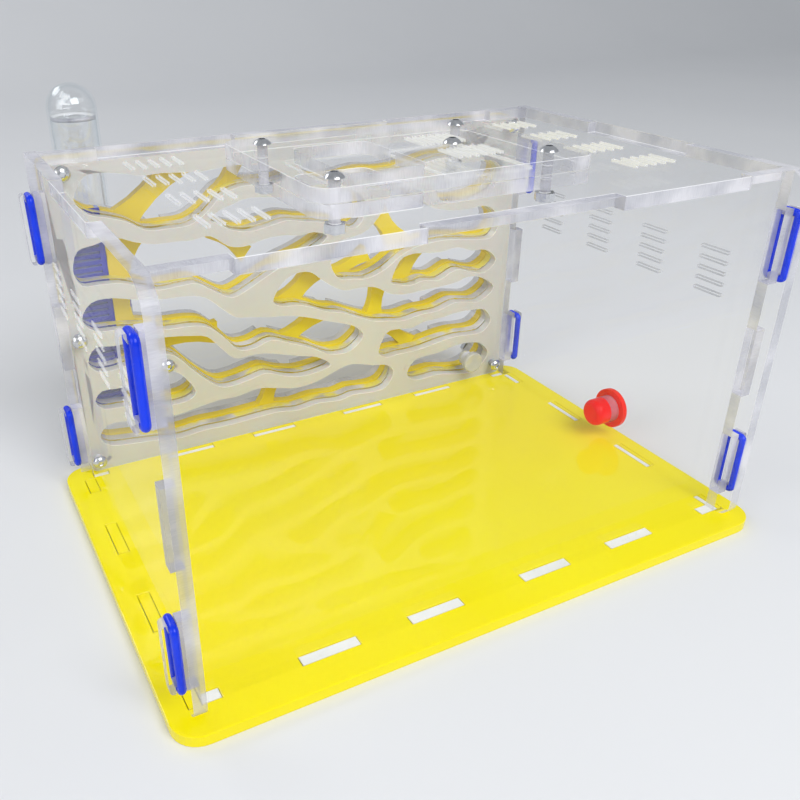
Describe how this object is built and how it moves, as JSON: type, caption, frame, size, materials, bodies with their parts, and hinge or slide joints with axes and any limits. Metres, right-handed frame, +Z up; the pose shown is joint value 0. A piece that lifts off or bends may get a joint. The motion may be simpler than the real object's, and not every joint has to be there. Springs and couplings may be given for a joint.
{
  "type": "ant habitat",
  "caption": "Clear finger-jointed ant arena on a yellow base plate, with a layered plate nest behind it, a lid with a feeding hatch, a water tube and two stoppers.",
  "frame": {"origin": "middle of the base plate's underside", "axes": "+X to the right, +Y from the front panel to the nest, +Z up"},
  "size_m": [0.223, 0.1903, 0.1485],
  "materials": {
    "clear_acrylic": "clear polished sheet with bright cut edges",
    "yellow_acrylic": "opaque gloss yellow sheet",
    "milky_acrylic": "milky white sheet",
    "blue_acrylic": "opaque royal blue sheet",
    "blue_silicone": "satin",
    "red_silicone": "translucent red",
    "clear_silicone": "translucent",
    "steel": "polished stainless",
    "tube_plastic": "clear",
    "water": "clear water"
  },
  "bodies": {
    "habitat": {"base_plate": "yellow_acrylic", "front_panel": "clear_acrylic", "back_panel": "clear_acrylic", "left_panel": "clear_acrylic", "right_panel": "clear_acrylic", "ring_front_left_lower": "blue_silicone", "ring_front_left_upper": "blue_silicone", "ring_front_right_lower": "blue_silicone", "ring_front_right_upper": "blue_silicone", "ring_back_left_lower": "blue_silicone", "ring_back_left_upper": "blue_silicone", "ring_back_right_lower": "blue_silicone", "ring_back_right_upper": "blue_silicone", "nest_front_layer": "milky_acrylic", "nest_clear_layer": "clear_acrylic", "nest_yellow_layer": "yellow_acrylic", "humidity_plate": "blue_acrylic", "nest_rear_layer": "clear_acrylic", "reservoir_water": "water", "nest_back_sheet": "clear_acrylic", "nest_screws": "steel", "nest_nuts": "steel", "tube_socket": "clear_acrylic", "tube_guide": "clear_acrylic", "tube_seal": "blue_silicone"},
    "lid": {"top_panel": "clear_acrylic", "hatch_frame": "clear_acrylic", "hatch_cover": "clear_acrylic", "hatch_screws": "steel", "hatch_nuts": "steel"},
    "shutter": {"feed_shutter": "clear_acrylic", "shutter_knob": "steel"},
    "red_plug": {"red_port_plug": "red_silicone"},
    "entry_plug": {"nest_entry_plug": "clear_silicone"},
    "tube": {"test_tube": "tube_plastic", "tube_water": "water"}
  },
  "joints": [
    {"name": "lid_lift", "type": "slide", "parent": "habitat", "child": "lid", "axis": [0, 0, 1], "range_m": [0, 0.03]},
    {"name": "shutter_slide", "type": "slide", "parent": "lid", "child": "shutter", "axis": [-1, 0, 0], "range_m": [0, 0.0335]},
    {"name": "red_plug_pull", "type": "slide", "parent": "habitat", "child": "red_plug", "axis": [1, 0, 0], "range_m": [0, 0.02]},
    {"name": "nest_plug_pull", "type": "slide", "parent": "habitat", "child": "entry_plug", "axis": [0, -1, 0], "range_m": [0, 0.012]},
    {"name": "tube_lift", "type": "slide", "parent": "habitat", "child": "tube", "axis": [0, 0, 1], "range_m": [0, 0.065]}
  ]
}
